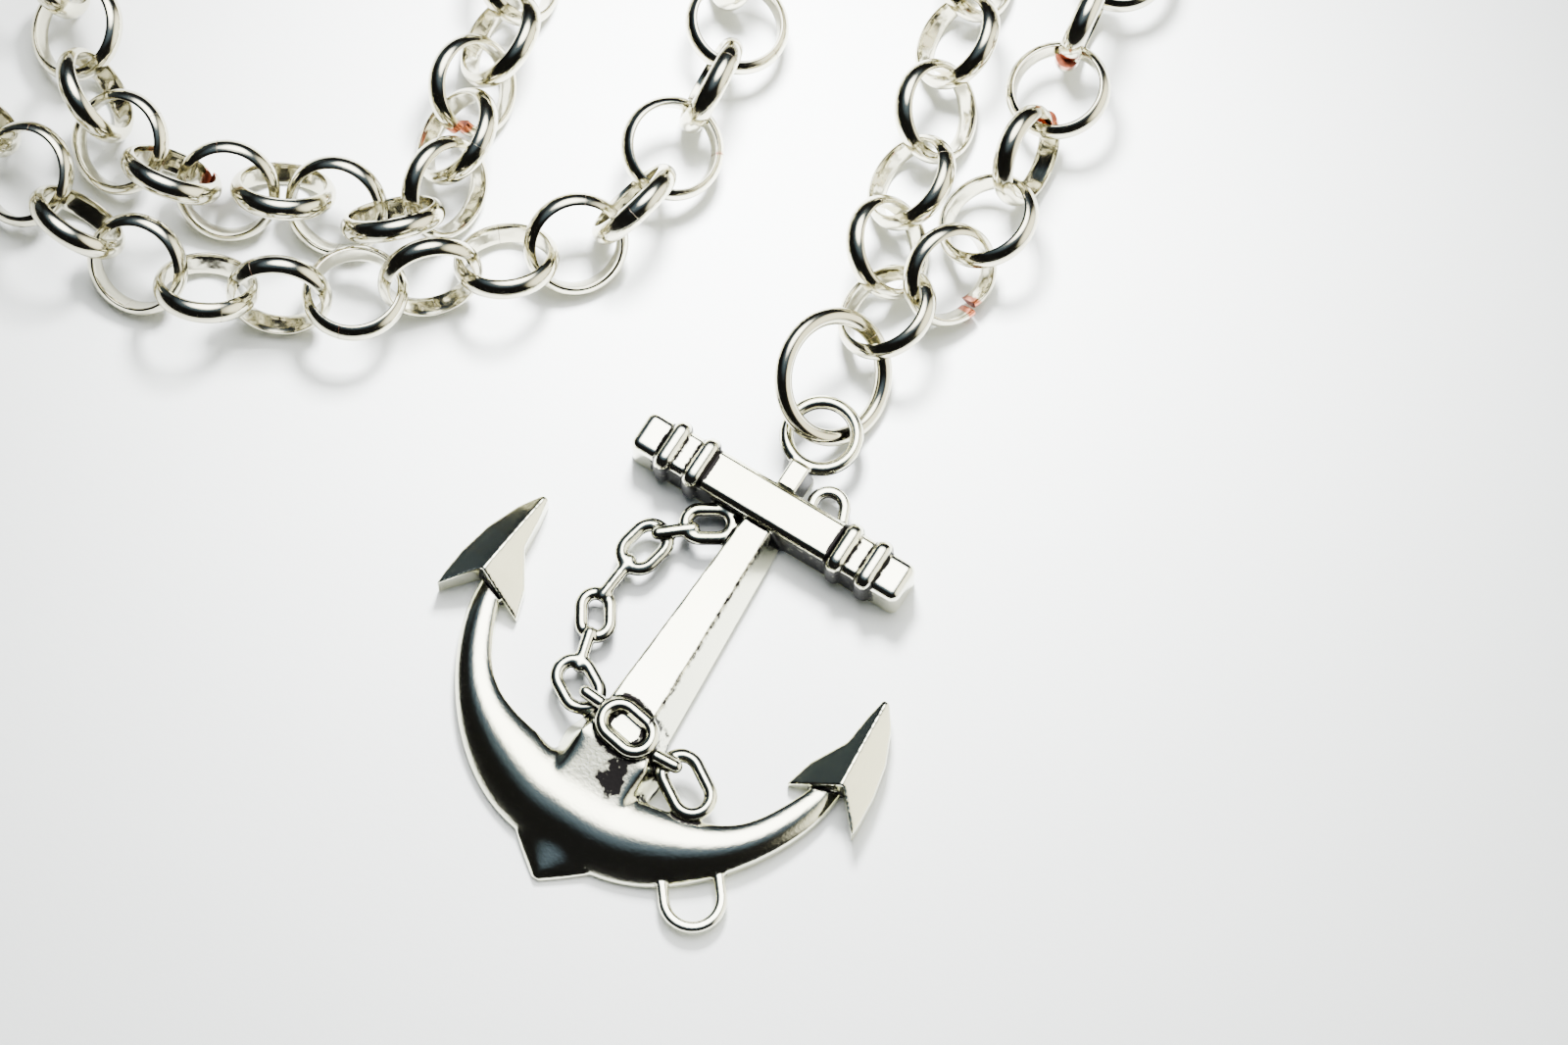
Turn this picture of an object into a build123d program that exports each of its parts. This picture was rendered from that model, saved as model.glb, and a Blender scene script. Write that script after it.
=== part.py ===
from build123d import *
import math
import os

os.makedirs("parts", exist_ok=True)

# An anchor pendant on a jump ring and a rolo chain with a plain clasp, lying on a flat surface.
# Millimetres. X runs across the anchor, Y up its shank and Z up from the flat back of the casting.
# The origin is on the flat back, under the middle of the crown.

# Casting: the curved arms, a loft of flat-backed sections about one centre
ARM_CENTRE_Y = 11.5
ARM_RADIUS = 18.2
ARM_HEIGHT = 2.9
ARM_END_ANGLE = 92.0
# the domed top's fall to the outer and inner rims and its crest's shift inward, as shares of a half-width
ARM_OUTER_FALL = 0.62
ARM_INNER_FALL = 0.18
ARM_CREST_SHIFT = 0.45
# angle, inner radius, outer radius and height, as shares of the end angle, the radius and the height
ARM_SECTIONS = [
    ("crown", 0.0, 0.60, 0.98, 1.0),
    ("shoulder", 0.19, 0.61, 0.997, 0.99),
    ("neck", 0.37, 0.66, 0.99, 0.96),
    ("middle", 0.6, 0.78, 0.975, 0.82),
    ("wrist", 0.76, 0.82, 0.98, 0.72),
    ("under_fluke", 0.88, 0.85, 0.985, 0.64),
    ("end", 1.0, 0.865, 0.975, 0.45),
]

# Casting: the point under the crown
CROWN_POINT_LENGTH = 5.9
CROWN_DROP = 2.66
CROWN_RIM = 1.2
CROWN_EDGE_SHARE = ARM_SECTIONS[0][3]
CROWN_TIP_Y = ARM_CENTRE_Y - ARM_RADIUS * CROWN_EDGE_SHARE - CROWN_DROP
# distance from the tip, half-width and height, as shares of the point's length and the arm's height
CROWN_SECTIONS = [
    ("tip", 0.02, 0.06, 0.2),
    ("nose", 0.18, 0.27, 0.34),
    ("throat", 0.47, 0.62, 0.52),
    ("root", 1.0, 1.25, 0.86),
]

# Casting: the shank, with a wide right bevel and a narrow left one
SHANK_FOOT_Y = 6.5
SHANK_TOP_Y = 27.5
SHANK_FOOT_WIDTH = 6.4
SHANK_TOP_WIDTH = 3.8
SHANK_FOOT_HEIGHT = 3.9
SHANK_TOP_HEIGHT = 3.4
SHANK_FLANGE_HEIGHT = 0.8
# width of each bevel, as a share of the shank's width
SHANK_LEFT_BEVEL = 0.1
SHANK_RIGHT_BEVEL = 0.25

# Casting: the hub where the shank runs out into the arms
HUB_TOP_Y = 7.4
HUB_LENGTH = 9.6
HUB_WIDTH = 9.6
HUB_HEIGHT = 3.95
HUB_EDGE = 1.0
HUB_BEVEL = 1.4
# distance from the top, width and height, as shares of the hub's length, width and height
HUB_SECTIONS = [
    ("under_shank", 0.0, 0.62, 0.97),
    ("shoulder", 0.42, 0.97, 0.92),
    ("foot", 1.0, 0.9, 0.69),
]

# Casting: the stock, a bar with two collars and a short block at each end
STOCK_Y = 28.4
STOCK_BAR_LENGTH = 19.6
STOCK_BAR_DEPTH = 3.9
STOCK_BAR_HEIGHT = 4.2
STOCK_BEVEL = 0.45
COLLAR_PLACES = (7.15, 10.0)
COLLAR_WIDTH = 1.5
COLLAR_DEPTH = 5.0
COLLAR_HEIGHT = 4.7
COLLAR_CORNER = 1.25
COLLAR_ROUNDING = 0.62
STOCK_END_LENGTH = 26.6
STOCK_END_DEPTH = 3.8
STOCK_END_HEIGHT = 4.1
STOCK_END_ROUNDING = 0.8

# Casting: the eye ring over the stock, on a short neck
EYE_Y = 36.2
EYE_MID_RADIUS = 3.0
EYE_WIRE_RADIUS = 0.62
EYE_HEIGHT = 2.7
EYE_NECK_WIDTH = 2.4
EYE_NECK_HEIGHT = 3.5
EYE_NECK_TAPER = 5.0

# Casting: the two flukes, roof-shaped blades with a swallow-tail foot
FLUKE_OUT = 0.27
FLUKE_RISE = 7.32
ARM_END_RADIUS = ARM_RADIUS * (ARM_SECTIONS[-1][2] + ARM_SECTIONS[-1][3]) / 2
FLUKE_TIP_X = ARM_END_RADIUS * math.sin(math.radians(ARM_END_ANGLE)) + FLUKE_OUT
FLUKE_TIP_Y = ARM_CENTRE_Y - ARM_END_RADIUS * math.cos(math.radians(ARM_END_ANGLE)) + FLUKE_RISE
FLUKE_LENGTH = 11.6
FLUKE_WIDTH = 7.3
FLUKE_HEIGHT = 3.7
# fall of the two faces from the ridge, for each millimetre across
FLUKE_INNER_FALL = 0.62
FLUKE_OUTER_FALL = 0.5
FLUKE_NOTCH = 3.0
FLUKE_INNER_BARB = 0.9
FLUKE_NOTCH_MARGIN = 1.0
# distance from the tip, inner edge, ridge and outer edge from the tip's line, and ridge height, as shares
FLUKE_SECTIONS = [
    ("tip", 0.01, -0.04, 0.0, 0.04, 0.64),
    ("point", 0.17, -0.09, 0.02, 0.22, 0.74),
    ("blade", 0.42, -0.13, 0.055, 0.39, 0.86),
    ("belly", 0.67, -0.38, 0.09, 0.475, 0.95),
    ("foot", 0.9, -0.49, 0.12, 0.505, 1.0),
    ("barb", 1.0, -0.50, 0.13, 0.5, 1.0),
]

# Casting: the chain cast on beside the shank, as flat oval links with round edges
CAST_WIRE = 1.02
CAST_ROUNDING = 0.4
# middle in x and y, long and short outer size, turn of the long side in degrees, and lowest height
CAST_LINKS = [
    ("under_stock", -4.0, 24.6, 5.2, 3.7, 32.0, 1.6),
    ("upper", -7.6, 20.1, 5.5, 4.1, 78.0, 1.2),
    ("side", -7.9, 12.9, 5.0, 3.6, 122.0, 1.0),
    ("lower", -5.8, 6.9, 5.6, 4.1, 150.0, 1.3),
    ("crossing", 0.1, 5.4, 5.9, 4.2, 170.0, 3.3),
    ("last", 6.7, 4.2, 6.5, 4.3, 148.0, 1.9),
]
# both ends in x and y, and lowest height, of the cast links seen on edge
CAST_BARS = [
    ("under_stock_to_upper", -4.9, 23.5, -7.2, 21.6, 1.7),
    ("upper_to_side", -8.0, 18.4, -8.3, 14.6, 1.2),
    ("side_to_lower", -7.4, 11.2, -6.6, 8.3, 1.3),
    ("lower_to_crossing", -4.6, 6.3, -1.6, 6.1, 2.9),
    ("crossing_to_last", 1.7, 4.7, 5.2, 4.9, 2.6),
]
# The two cast half loops: one behind the stock, and one on the arms' outer edge at an angle from the crown
LOOP_ARM_ANGLE = 39.0
LOOP_ARM_RADIUS = 0.953 * ARM_RADIUS
LOOP_ARM_X = LOOP_ARM_RADIUS * math.sin(math.radians(LOOP_ARM_ANGLE))
LOOP_ARM_Y = ARM_CENTRE_Y - LOOP_ARM_RADIUS * math.cos(math.radians(LOOP_ARM_ANGLE))
# middle of the feet in x and y, radius, reach, turn and lowest height
CAST_LOOPS = [
    ("above_stock", 4.3, STOCK_Y + 1.5, 1.4, 1.5, 22.0, 1.3),
    ("under_arm", LOOP_ARM_X, LOOP_ARM_Y, 2.4, 2.0, 180.0 + LOOP_ARM_ANGLE, 0.4),
]

# Jump ring, a round wire that leans through the eye
JUMP_MID_RADIUS = 5.2
JUMP_WIRE_RADIUS = 0.75
JUMP_SWING = 26.0
JUMP_CONTACT = 0.975
JUMP_LIFT = 0.06

# Chain link: flat inside, half-round outside
LINK_INNER_RADIUS = 3.7
LINK_WALL = 0.9
LINK_WIDTH = 2.1
LINK_CORNER = 0.22

# How neighbouring links may lie: longest pitch when straight, and what a bend and an uneven roll take from it
PITCH_STRAIGHT = 6.95
PITCH_PER_TURN = 0.03
PITCH_PER_ROLL = 0.012
PITCH_LEAST = 4.8
NEXT_LINK_GAP = 0.25
HELD_BY_NEIGHBOURS = 0.3
SETTLING_PASSES = 300
SETTLED_WITHIN = 1e-6

# Clasp, one plain piece between the two end links
CLASP_THICKNESS = 2.4
CLASP_SPACING = 11.0
CLASP_EYE_RADIUS = 3.1
CLASP_EYE_HOLE = 1.8
CLASP_CLAW_RADIUS = 4.2
CLASP_CLAW_HOLE = 2.5
CLASP_LEAN = -42.0
CLASP_WAIST = 2.2

# Where the links lie, read along the two runs from the link in the jump ring:
# middle in x and y, lean to the left of travel in degrees, and lift over what it rests on
LEFT_START = [
    (-1.0, 48.3, -30, 0.5), (-4.1, 53.4, 44, 0), (-5.6, 61.5, -42, 0), (-7.4, 68.4, 45, 0),
    (-9.3, 75.5, -45, 0),
]
LEFT_END = [
    (-29.2, 68.5, 65, 0), (-24.7, 63.7, -12, 0), (-24.4, 57.8, 75, 0), (-24.6, 51.2, -20, 0),
    (-23.9, 44.0, 65, 0), (-25.8, 40.1, -40, 0), (-30.9, 35.4, 30, 0), (-35.5, 30.0, -70, 0),
    (-40.2, 25.1, 10, 0), (-44.4, 21.9, -68, 0), (-50.2, 19.2, 36, 0), (-56.2, 16.2, -42, 0),
    (-63.5, 17.2, 55, 0), (-70.4, 19.1, -25, 0), (-77.0, 21.4, 55, 0),
]
RIGHT_START = [
    (-1.0, 48.3, -30, 0.5), (1.8, 54.0, 47, 0.2), (2.9, 62.4, -25, 0), (1.8, 69.0, 70, 0),
    (0.9, 74.6, -10, 0), (-0.9, 81.1, -85, 0),
]
RIGHT_MIDDLE = [
    (-43.5, 56.7, -42, 0), (-42.4, 51.0, 48, 0), (-42.1, 46.3, -45, 0), (-41.1, 41.9, 45, 0),
    (-40.5, 37.0, -55, 0), (-42.2, 33.6, 55, 0), (-45.9, 32.1, -42, 0), (-49.7, 30.5, 45, 0),
    (-54.1, 28.1, -40, 0), (-59.7, 26.2, 55, 0), (-65.3, 26.5, -30, 0), (-69.2, 28.7, 60, 0),
    (-74.2, 33.1, -30, 0), (-79.0, 36.4, 60, 0), (-83.6, 40.4, -35, 0), (-89.0, 43.6, 50, 0),
]
RIGHT_END = [(-96.1, 24.2, -45, 0)]
# The three turns beyond the photo's edge: middle, first and last radius, first and last angle, links, leans
INNER_TURN = (-23.6, 80.5, 11.9, 11.6, 3.0, 209.5, 8, 45, 45)
OUTER_TURN = (-26.0, 82.5, 25.5, 30.8, 10.0, 222.6, 17, 7, 43)
CLASP_TURN = (-94.5, 34.6, 10.6, 10.6, 86.0, 236.0, 6, -45, -45)


def eye_contact_tilt():
    """How far the jump ring leans when its low side lies on the surface beneath the eye."""
    reach = JUMP_MID_RADIUS * (1 - math.sin(math.radians(JUMP_SWING)))
    return math.asin((EYE_HEIGHT - JUMP_WIRE_RADIUS) / reach)


JUMP_TILT = eye_contact_tilt()
JUMP_NORMAL = Vector(math.sin(JUMP_TILT), 0, math.cos(JUMP_TILT))
JUMP_SIDE = Vector(-math.cos(JUMP_TILT), 0, math.sin(JUMP_TILT))
JUMP_REACH = JUMP_CONTACT * JUMP_MID_RADIUS
JUMP_CENTRE = (
    Vector(0, EYE_Y, EYE_HEIGHT + JUMP_LIFT)
    + Vector(0, 1, 0) * (JUMP_REACH * math.cos(math.radians(JUMP_SWING)))
    + JUMP_SIDE * (JUMP_REACH * math.sin(math.radians(JUMP_SWING)))
)


def turn_rows(turn):
    """Rows of the links on a turn, whose leans swap sides from one link to the next."""
    x, y, first_radius, last_radius, first_angle, last_angle, count, first_lean, last_lean = turn
    rows = []
    for k in range(count):
        share = k / (count - 1)
        radius = first_radius + (last_radius - first_radius) * share
        angle = math.radians(first_angle + (last_angle - first_angle) * share)
        lean = first_lean + (last_lean - first_lean) * share
        if k % 2:
            lean -= math.copysign(90, first_lean)
        rows.append((x + radius * math.cos(angle), y + radius * math.sin(angle), lean, 0))
    return rows


def resting_height(lean):
    """Height of a link's middle when it rests on the surface by itself."""
    sine, cosine = abs(math.sin(math.radians(lean))), abs(math.cos(math.radians(lean)))
    return LINK_INNER_RADIUS * sine + math.hypot(LINK_WALL * sine, LINK_WIDTH / 2 * cosine)


def run_heights(rows):
    """Heights of the links' middles, each on the surface or held up by the links beside it."""
    own = [resting_height(row[2]) for row in rows]
    heights = []
    for i, row in enumerate(rows):
        beside = own[max(i - 1, 0):i] + own[i + 1:i + 2]
        held = sum(beside) / len(beside) - HELD_BY_NEIGHBOURS
        heights.append(max(own[i], held) + row[3])
    return heights


def turn_at(places, i):
    """Turn of the run at a link, in degrees."""
    if i == 0 or i == len(places) - 1:
        return 0
    into = places[i] - places[i - 1]
    out = places[i + 1] - places[i]
    return math.degrees(abs(math.atan2(into.X * out.Y - into.Y * out.X, into.X * out.X + into.Y * out.Y)))


def drawn(places, i, j, low, high, held):
    """Moves two links along the line between them until they are as near and as far as they can be."""
    gap = places[j] - places[i]
    wanted = min(max(gap.length, low), max(high, low))
    flat = math.hypot(gap.X, gap.Y)
    flat_wanted = math.sqrt(max(wanted**2 - gap.Z**2, 0))
    free = [k for k in (i, j) if k not in held]
    if abs(wanted - gap.length) < SETTLED_WITHIN or not free:
        return
    step = Vector(gap.X, gap.Y, 0) * ((flat - flat_wanted) / flat / len(free))
    if i in free:
        places[i] = places[i] + step
    if j in free:
        places[j] = places[j] - step


def settled(rows, held):
    """Places of the links' middles once no neighbour is too far or too near."""
    places = [Vector(row[0], row[1], height) for row, height in zip(rows, run_heights(rows))]
    apart = 2 * (LINK_INNER_RADIUS + LINK_WALL) + NEXT_LINK_GAP
    for _ in range(SETTLING_PASSES):
        turns = [turn_at(places, i) for i in range(len(places))]
        for i in range(len(places) - 1):
            uneven = abs(abs(rows[i][2] - rows[i + 1][2]) - 90)
            longest = PITCH_STRAIGHT - PITCH_PER_TURN * max(turns[i], turns[i + 1]) - PITCH_PER_ROLL * uneven
            drawn(places, i, i + 1, PITCH_LEAST, longest, held)
        for i in range(len(places) - 2):
            drawn(places, i, i + 2, apart, math.inf, held)
    return places


def leaning_plane(place, travel, lean):
    """A plane at a place, with its x axis along the travel and its side leaning by an angle."""
    forward = travel.normalized()
    left = Vector(0, 0, 1).cross(forward).normalized()
    upward = forward.cross(left)
    angle = math.radians(lean)
    side = left * math.cos(angle) + upward * math.sin(angle)
    return Plane(origin=place, x_dir=forward, z_dir=forward.cross(side))


def run_planes(rows, held, before, after):
    """The plane of each link of a run, between a place before its first link and one after its last."""
    places = settled(rows, held)
    around = [before] + places + [after]
    return [leaning_plane(place, around[i + 2] - around[i], rows[i][2]) for i, place in enumerate(places)]


left_rows = LEFT_START + turn_rows(INNER_TURN) + LEFT_END
right_rows = RIGHT_START + turn_rows(OUTER_TURN) + RIGHT_MIDDLE + turn_rows(CLASP_TURN) + RIGHT_END

# The clasp lies between the last links of the two runs, which are set by its own length
LINK_MID_RADIUS = LINK_INNER_RADIUS + LINK_WALL / 2
clasp_from = Vector(*left_rows[-1][:2])
clasp_to = Vector(*right_rows[-1][:2])
clasp_travel = (clasp_to - clasp_from).normalized()
clasp_lowest = CLASP_CLAW_RADIUS * math.sin(math.radians(-CLASP_LEAN))
clasp_lowest += CLASP_THICKNESS / 2 * math.cos(math.radians(CLASP_LEAN))
clasp_middle = (clasp_from + clasp_to) / 2 + Vector(0, 0, clasp_lowest)
link_reach = CLASP_SPACING / 2 + LINK_MID_RADIUS
left_last = clasp_middle - clasp_travel * link_reach
right_last = clasp_middle + clasp_travel * link_reach
left_rows[-1] = (left_last.X, left_last.Y, *left_rows[-1][2:])
right_rows[-1] = (right_last.X, right_last.Y, *right_rows[-1][2:])

left_planes = run_planes(left_rows, (0, 1, len(left_rows) - 1), JUMP_CENTRE, clasp_middle)
right_planes = run_planes(right_rows, (0, 1, len(right_rows) - 1), JUMP_CENTRE, clasp_middle)
link_planes = left_planes + right_planes[1:]

# Fluke, modelled on the right and mirrored
with BuildPart() as fluke:
    for _, along, inner, ridge, outer, height in FLUKE_SECTIONS:
        top = FLUKE_HEIGHT * height
        with BuildSketch(Plane(origin=(FLUKE_TIP_X, FLUKE_TIP_Y - FLUKE_LENGTH * along, 0), x_dir=(1, 0, 0),
                               z_dir=(0, -1, 0))):
            with BuildLine():
                Polyline(
                    (FLUKE_WIDTH * inner, 0),
                    (FLUKE_WIDTH * outer, 0),
                    (FLUKE_WIDTH * outer, top - FLUKE_OUTER_FALL * FLUKE_WIDTH * (outer - ridge)),
                    (FLUKE_WIDTH * ridge, top),
                    (FLUKE_WIDTH * inner, top - FLUKE_INNER_FALL * FLUKE_WIDTH * (ridge - inner)),
                    close=True,
                )
            make_face()
    loft(ruled=True)
    _, _, barb_inner, barb_ridge, barb_outer, _ = FLUKE_SECTIONS[-1]
    with BuildSketch(Plane.XY.offset(-FLUKE_NOTCH_MARGIN)):
        with BuildLine():
            Polyline(
                (FLUKE_TIP_X + FLUKE_WIDTH * barb_inner, FLUKE_TIP_Y - FLUKE_LENGTH * FLUKE_INNER_BARB),
                (FLUKE_TIP_X + FLUKE_WIDTH * barb_ridge, FLUKE_TIP_Y - FLUKE_LENGTH + FLUKE_NOTCH),
                (FLUKE_TIP_X + FLUKE_WIDTH * barb_outer, FLUKE_TIP_Y - FLUKE_LENGTH),
                (FLUKE_TIP_X + FLUKE_WIDTH, FLUKE_TIP_Y - FLUKE_LENGTH - FLUKE_NOTCH_MARGIN),
                (FLUKE_TIP_X - FLUKE_WIDTH, FLUKE_TIP_Y - FLUKE_LENGTH - FLUKE_NOTCH_MARGIN),
                close=True,
            )
        make_face()
    extrude(amount=FLUKE_HEIGHT + 2 * FLUKE_NOTCH_MARGIN, mode=Mode.SUBTRACT)

# Arms, lofted from one end round the crown to the other
mirrored_sections = [(-row[1], *row[2:]) for row in reversed(ARM_SECTIONS[1:])]
arm_stations = mirrored_sections + [row[1:] for row in ARM_SECTIONS]
with BuildPart() as arms:
    for share, inner, outer, height in arm_stations:
        angle = math.radians(share * ARM_END_ANGLE)
        outward = Vector(math.sin(angle), -math.cos(angle), 0)
        half = ARM_RADIUS * (outer - inner) / 2
        top = ARM_HEIGHT * height
        outer_rim = top - ARM_OUTER_FALL * half
        inner_rim = top - ARM_INNER_FALL * half
        middle = Vector(0, ARM_CENTRE_Y, 0) + outward * (ARM_RADIUS * (outer + inner) / 2)
        with BuildSketch(Plane(origin=middle, x_dir=outward, z_dir=outward.cross(Vector(0, 0, 1)))):
            with BuildLine():
                Polyline((-half, inner_rim), (-half, 0), (half, 0), (half, outer_rim))
                ThreePointArc((half, outer_rim), (-ARM_CREST_SHIFT * half, top), (-half, inner_rim))
            make_face()
    loft()

# Point under the crown
with BuildPart() as crown_point:
    for _, along, half_share, height in CROWN_SECTIONS:
        half = CROWN_POINT_LENGTH * half_share
        rim = CROWN_RIM * height
        y = CROWN_TIP_Y + CROWN_POINT_LENGTH * along
        with BuildSketch(Plane(origin=(0, y, 0), x_dir=(1, 0, 0), z_dir=(0, -1, 0))):
            with BuildLine():
                Polyline((-half, rim), (-half, 0), (half, 0), (half, rim))
                ThreePointArc((half, rim), (0, ARM_HEIGHT * height), (-half, rim))
            make_face()
    loft()

# Shank
with BuildPart() as shank:
    for y, width, height in (
        (SHANK_FOOT_Y, SHANK_FOOT_WIDTH, SHANK_FOOT_HEIGHT),
        (SHANK_TOP_Y, SHANK_TOP_WIDTH, SHANK_TOP_HEIGHT),
    ):
        with BuildSketch(Plane(origin=(0, y, 0), x_dir=(1, 0, 0), z_dir=(0, -1, 0))):
            with BuildLine():
                Polyline(
                    (-width / 2, 0),
                    (width / 2, 0),
                    (width / 2, SHANK_FLANGE_HEIGHT),
                    (width / 2 - SHANK_RIGHT_BEVEL * width, height),
                    (-width / 2 + SHANK_LEFT_BEVEL * width, height),
                    (-width / 2, SHANK_FLANGE_HEIGHT),
                    close=True,
                )
            make_face()
    loft(ruled=True)

# Hub at the shank's foot, which runs out into the arms
with BuildPart() as hub:
    for _, along, width_share, height_share in HUB_SECTIONS:
        half = HUB_WIDTH * width_share / 2
        top = HUB_HEIGHT * height_share
        y = HUB_TOP_Y - HUB_LENGTH * along
        with BuildSketch(Plane(origin=(0, y, 0), x_dir=(1, 0, 0), z_dir=(0, -1, 0))):
            with BuildLine():
                Polyline(
                    (-half, 0),
                    (half, 0),
                    (half, HUB_EDGE),
                    (half - HUB_BEVEL, top),
                    (HUB_BEVEL - half, top),
                    (-half, HUB_EDGE),
                    close=True,
                )
            make_face()
    loft(ruled=True)

# Stock bar between the collars
with BuildPart() as bar:
    with BuildSketch(Plane(origin=(-STOCK_BAR_LENGTH / 2, STOCK_Y, STOCK_BAR_HEIGHT / 2), x_dir=(0, 1, 0),
                           z_dir=(1, 0, 0))):
        Rectangle(STOCK_BAR_DEPTH, STOCK_BAR_HEIGHT)
    extrude(amount=STOCK_BAR_LENGTH)
    chamfer(bar.edges().filter_by(Axis.X).group_by(Axis.Z)[-1], STOCK_BEVEL)

# Blocks at the ends of the stock
with BuildPart() as blocks:
    with BuildSketch(Plane.XY):
        with Locations((0, STOCK_Y)):
            Rectangle(STOCK_END_LENGTH, STOCK_END_DEPTH)
    extrude(amount=STOCK_END_HEIGHT)
    fillet(blocks.edges().filter_by(Axis.Z) + blocks.faces().sort_by(Axis.Z)[-1].edges(), STOCK_END_ROUNDING)

# Neck and eye ring
with BuildPart() as eye:
    with BuildSketch(Plane.XY):
        with Locations((0, (STOCK_Y + EYE_Y - EYE_MID_RADIUS) / 2)):
            Rectangle(EYE_NECK_WIDTH, EYE_Y - EYE_MID_RADIUS - STOCK_Y)
    extrude(amount=EYE_NECK_HEIGHT, taper=EYE_NECK_TAPER)
    with BuildSketch(Plane(origin=(0, EYE_Y, EYE_HEIGHT), x_dir=(1, 0, 0), z_dir=(0, -1, 0))):
        with Locations((EYE_MID_RADIUS, 0)):
            Circle(EYE_WIRE_RADIUS)
    revolve(axis=Axis((0, EYE_Y, 0), (0, 0, 1)))


def collar(x):
    """A raised band round the stock."""
    with BuildPart() as band:
        with BuildSketch(Plane(origin=(x - COLLAR_WIDTH / 2, STOCK_Y, COLLAR_HEIGHT / 2), x_dir=(0, 1, 0),
                               z_dir=(1, 0, 0))):
            RectangleRounded(COLLAR_DEPTH, COLLAR_HEIGHT, COLLAR_CORNER)
        extrude(amount=COLLAR_WIDTH)
        ends = band.faces().filter_by(Axis.X)
        fillet(ends.edges(), COLLAR_ROUNDING)
    return band.part


def cast_link(x, y, length, width, turn, lowest):
    """An oval link of the cast chain, lying flat."""
    with BuildPart() as oval:
        with BuildSketch(Plane(origin=(x, y, lowest), x_dir=Vector(1, 0, 0).rotate(Axis.Z, turn))):
            SlotOverall(length, width)
            SlotOverall(length - 2 * CAST_WIRE, width - 2 * CAST_WIRE, mode=Mode.SUBTRACT)
        extrude(amount=CAST_WIRE)
        fillet(oval.faces().filter_by(Axis.Z).edges(), CAST_ROUNDING)
    return oval.part


def cast_bar(from_x, from_y, to_x, to_y, lowest):
    """A link of the cast chain seen on edge, a short bar with round ends."""
    with BuildPart() as bridge:
        with BuildSketch(Plane.XY.offset(lowest)):
            SlotCenterToCenter(
                math.dist((from_x, from_y), (to_x, to_y)),
                CAST_WIRE,
                rotation=math.degrees(math.atan2(to_y - from_y, to_x - from_x)),
            )
        extrude(amount=CAST_WIRE)
        fillet(bridge.faces().filter_by(Axis.Z).edges(), CAST_ROUNDING)
    return Pos((from_x + to_x) / 2, (from_y + to_y) / 2) * bridge.part


def cast_loop(x, y, radius, reach, turn, lowest):
    """A half loop on two feet, cast on at the edge of the casting."""
    with BuildPart() as loop:
        with BuildSketch(Plane(origin=(x, y, lowest), x_dir=Vector(1, 0, 0).rotate(Axis.Z, turn))):
            SlotCenterToCenter(2 * reach, 2 * radius + CAST_WIRE, rotation=90)
            SlotCenterToCenter(2 * reach, 2 * radius - CAST_WIRE, rotation=90, mode=Mode.SUBTRACT)
            with Locations((0, -reach - radius)):
                Rectangle(4 * radius, 2 * (reach + radius), mode=Mode.SUBTRACT)
        extrude(amount=CAST_WIRE)
        fillet(loop.faces().filter_by(Axis.Z).edges(), CAST_ROUNDING)
    return loop.part


collars = [collar(side * place) for side in (-1, 1) for place in COLLAR_PLACES]
cast_pieces = [cast_link(*row[1:]) for row in CAST_LINKS]
cast_pieces += [cast_bar(*row[1:]) for row in CAST_BARS]
cast_pieces += [cast_loop(*row[1:]) for row in CAST_LOOPS]

# One solid: the whole casting
with BuildPart() as anchor:
    add(arms.part)
    add(crown_point.part)
    add(shank.part)
    add(hub.part)
    add(bar.part)
    add(blocks.part)
    add(eye.part)
    add(collars)
    add(cast_pieces)
    add(fluke.part)
    add(fluke.part.mirror(Plane.YZ))

# Jump ring
with BuildPart() as jump_ring:
    with BuildSketch(Plane(origin=JUMP_CENTRE, x_dir=JUMP_SIDE, z_dir=JUMP_NORMAL.cross(JUMP_SIDE))):
        with Locations((JUMP_MID_RADIUS, 0)):
            Circle(JUMP_WIRE_RADIUS)
    revolve(axis=Axis(JUMP_CENTRE, JUMP_NORMAL))

# One link at the origin, then the whole loop of links
with BuildPart() as link:
    with BuildSketch(Plane.XZ):
        with BuildLine():
            Line((LINK_INNER_RADIUS, -LINK_WIDTH / 2), (LINK_INNER_RADIUS, LINK_WIDTH / 2))
            ThreePointArc(
                (LINK_INNER_RADIUS, LINK_WIDTH / 2),
                (LINK_INNER_RADIUS + LINK_WALL, 0),
                (LINK_INNER_RADIUS, -LINK_WIDTH / 2),
            )
        profile = make_face()
        fillet(profile.vertices(), LINK_CORNER)
    revolve(axis=Axis.Z)
link_places = [plane.location for plane in link_planes]
with BuildPart() as chain:
    add([link.part.moved(place) for place in link_places])

# Clasp, a leaning plate with a small eye at one end and a larger claw ring at the other
clasp_plane = leaning_plane(clasp_middle, clasp_travel, CLASP_LEAN)
with BuildPart() as clasp:
    with BuildSketch(clasp_plane.offset(-CLASP_THICKNESS / 2)):
        with Locations((-CLASP_SPACING / 2, 0)):
            Circle(CLASP_EYE_RADIUS)
        with Locations((CLASP_SPACING / 2, 0)):
            Circle(CLASP_CLAW_RADIUS)
        Rectangle(CLASP_SPACING, 2 * CLASP_WAIST)
        with Locations((-CLASP_SPACING / 2, 0)):
            Circle(CLASP_EYE_HOLE, mode=Mode.SUBTRACT)
        with Locations((CLASP_SPACING / 2, 0)):
            Circle(CLASP_CLAW_HOLE, mode=Mode.SUBTRACT)
    extrude(amount=CLASP_THICKNESS)

anchor.part.label = "anchor"
export_step(anchor.part, "parts/anchor.step")
jump_ring.part.label = "jump_ring"
export_step(jump_ring.part, "parts/jump_ring.step")
chain.part.label = "chain"
export_step(chain.part, "parts/chain.step")
clasp.part.label = "clasp"
export_step(clasp.part, "parts/clasp.step")
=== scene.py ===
import math
import random

import bmesh
import bpy
import numpy as np
from mathutils import Matrix, Vector
from mathutils.bvhtree import BVHTree


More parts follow.
